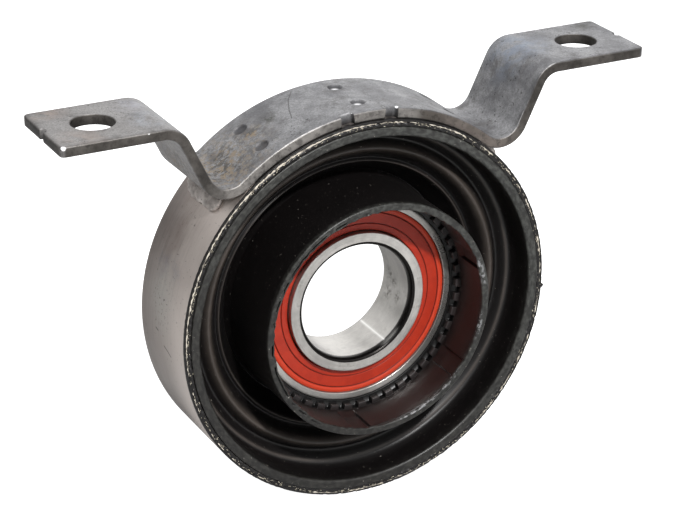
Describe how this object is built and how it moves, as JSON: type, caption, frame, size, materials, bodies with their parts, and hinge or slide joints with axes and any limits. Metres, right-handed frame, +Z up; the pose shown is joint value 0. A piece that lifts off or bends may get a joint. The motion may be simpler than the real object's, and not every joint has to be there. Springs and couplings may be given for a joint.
{
  "type": "driveshaft centre bearing",
  "caption": "Sealed ball bearing in a rubber diaphragm inside a steel ring shell, hung by a bent strap with two bolt ears, to carry the middle of a driveshaft.",
  "frame": {"origin": "on the shaft axis, at the middle of the shell's width", "axes": "+Y along the shaft towards the rear, +Z up towards the bolt ears, +X along the line of the two ears"},
  "size_m": [0.18, 0.0369, 0.1227],
  "materials": {
    "strap_steel": "mottled bare steel strip with worn edges",
    "shell_steel": "dull warm grey rolled steel",
    "weld_metal": "rough weld bead",
    "black_rubber": "satin black moulded rubber, scuffed grey at the lips",
    "sleeve_plastic": "dark brown satin",
    "ground_steel": "ground and polished",
    "red_seal": "orange-red satin rubber",
    "cage_steel": "pressed sheet steel",
    "ball_steel": "polished"
  },
  "bodies": {
    "housing": {"hanger_strap": "strap_steel", "outer_shell": "shell_steel", "weld_beads": "weld_metal", "rubber_diaphragm": "black_rubber"},
    "carrier": {"bearing_sleeve": "sleeve_plastic", "bearing_outer_ring": "ground_steel", "front_seal": "red_seal", "rear_seal": "red_seal"},
    "inner_ring": {"bearing_inner_ring": "ground_steel"},
    "cage": {"front_cage_half": "cage_steel", "rear_cage_half": "cage_steel", "cage_rivets": "cage_steel"},
    "ball_01": {"ball_01": "ball_steel"},
    "ball_02": {"ball_02": "ball_steel"},
    "ball_03": {"ball_03": "ball_steel"},
    "ball_04": {"ball_04": "ball_steel"},
    "ball_05": {"ball_05": "ball_steel"},
    "ball_06": {"ball_06": "ball_steel"},
    "ball_07": {"ball_07": "ball_steel"},
    "ball_08": {"ball_08": "ball_steel"},
    "ball_09": {"ball_09": "ball_steel"},
    "ball_10": {"ball_10": "ball_steel"},
    "ball_11": {"ball_11": "ball_steel"}
  },
  "joints": [
    {"name": "rubber_float", "type": "slide", "parent": "housing", "child": "carrier", "axis": [0, 1, 0], "range_m": [-0.003, 0.003], "stiffness_N_per_m": 40000, "deforming": ["rubber_diaphragm"]},
    {"name": "inner_spin", "type": "hinge", "parent": "carrier", "child": "inner_ring", "pos_m": [0, 0, 0], "axis": [0, 1, 0], "continuous": true},
    {"name": "cage_orbit", "type": "hinge", "parent": "carrier", "child": "cage", "pos_m": [0, 0, 0], "axis": [0, 1, 0], "continuous": true},
    {"name": "ball_01_spin", "type": "hinge", "parent": "cage", "child": "ball_01", "pos_m": [0, 0.0011, 0.02425], "axis": [0, 1, 0], "continuous": true},
    {"name": "ball_02_spin", "type": "hinge", "parent": "cage", "child": "ball_02", "pos_m": [0.01311, 0.0011, 0.0204], "axis": [0, 1, 0], "continuous": true},
    {"name": "ball_03_spin", "type": "hinge", "parent": "cage", "child": "ball_03", "pos_m": [0.02206, 0.0011, 0.01007], "axis": [0, 1, 0], "continuous": true},
    {"name": "ball_04_spin", "type": "hinge", "parent": "cage", "child": "ball_04", "pos_m": [0.024, 0.0011, -0.00345], "axis": [0, 1, 0], "continuous": true},
    {"name": "ball_05_spin", "type": "hinge", "parent": "cage", "child": "ball_05", "pos_m": [0.01833, 0.0011, -0.01588], "axis": [0, 1, 0], "continuous": true},
    {"name": "ball_06_spin", "type": "hinge", "parent": "cage", "child": "ball_06", "pos_m": [0.00683, 0.0011, -0.02327], "axis": [0, 1, 0], "continuous": true},
    {"name": "ball_07_spin", "type": "hinge", "parent": "cage", "child": "ball_07", "pos_m": [-0.00683, 0.0011, -0.02327], "axis": [0, 1, 0], "continuous": true},
    {"name": "ball_08_spin", "type": "hinge", "parent": "cage", "child": "ball_08", "pos_m": [-0.01833, 0.0011, -0.01588], "axis": [0, 1, 0], "continuous": true},
    {"name": "ball_09_spin", "type": "hinge", "parent": "cage", "child": "ball_09", "pos_m": [-0.024, 0.0011, -0.00345], "axis": [0, 1, 0], "continuous": true},
    {"name": "ball_10_spin", "type": "hinge", "parent": "cage", "child": "ball_10", "pos_m": [-0.02206, 0.0011, 0.01007], "axis": [0, 1, 0], "continuous": true},
    {"name": "ball_11_spin", "type": "hinge", "parent": "cage", "child": "ball_11", "pos_m": [-0.01311, 0.0011, 0.0204], "axis": [0, 1, 0], "continuous": true}
  ],
  "couplings": [
    {"joint": "cage_orbit", "follows": "inner_spin", "ratio": 0.41817},
    {"joint": "ball_01_spin", "follows": "inner_spin", "ratio": -2.9731},
    {"joint": "ball_02_spin", "follows": "inner_spin", "ratio": -2.9731},
    {"joint": "ball_03_spin", "follows": "inner_spin", "ratio": -2.9731},
    {"joint": "ball_04_spin", "follows": "inner_spin", "ratio": -2.9731},
    {"joint": "ball_05_spin", "follows": "inner_spin", "ratio": -2.9731},
    {"joint": "ball_06_spin", "follows": "inner_spin", "ratio": -2.9731},
    {"joint": "ball_07_spin", "follows": "inner_spin", "ratio": -2.9731},
    {"joint": "ball_08_spin", "follows": "inner_spin", "ratio": -2.9731},
    {"joint": "ball_09_spin", "follows": "inner_spin", "ratio": -2.9731},
    {"joint": "ball_10_spin", "follows": "inner_spin", "ratio": -2.9731},
    {"joint": "ball_11_spin", "follows": "inner_spin", "ratio": -2.9731}
  ]
}
